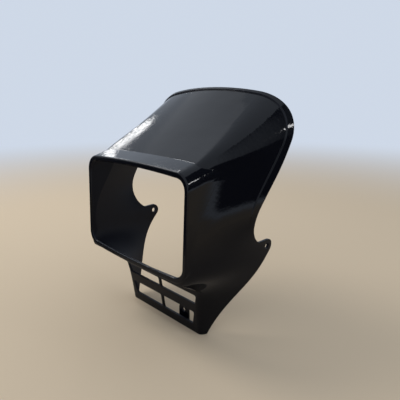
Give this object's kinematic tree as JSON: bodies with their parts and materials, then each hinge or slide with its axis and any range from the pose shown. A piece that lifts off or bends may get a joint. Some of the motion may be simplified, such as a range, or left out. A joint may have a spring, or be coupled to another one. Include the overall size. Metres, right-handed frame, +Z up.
{
  "type": "headlight cowl",
  "caption": "Moulded headlight cowl with a rectangular lamp opening, a sloping flared hood above it, drilled ears at the sides and a slotted chin below.",
  "frame": {"origin": "middle of the line through the two ear holes, on the plane of symmetry", "axes": "-Y is the front, where the lamp looks out; +Z is up as it stands on the machine; +X is the rider's left, along the line of the ear holes"},
  "size_m": [0.2508, 0.153, 0.3009],
  "materials": {
    "gloss_black": "moulded gloss black with a slight orange peel, satin on the inside"
  },
  "bodies": {
    "root": {"headlight_cowl": "gloss_black"}
  },
  "joints": []
}
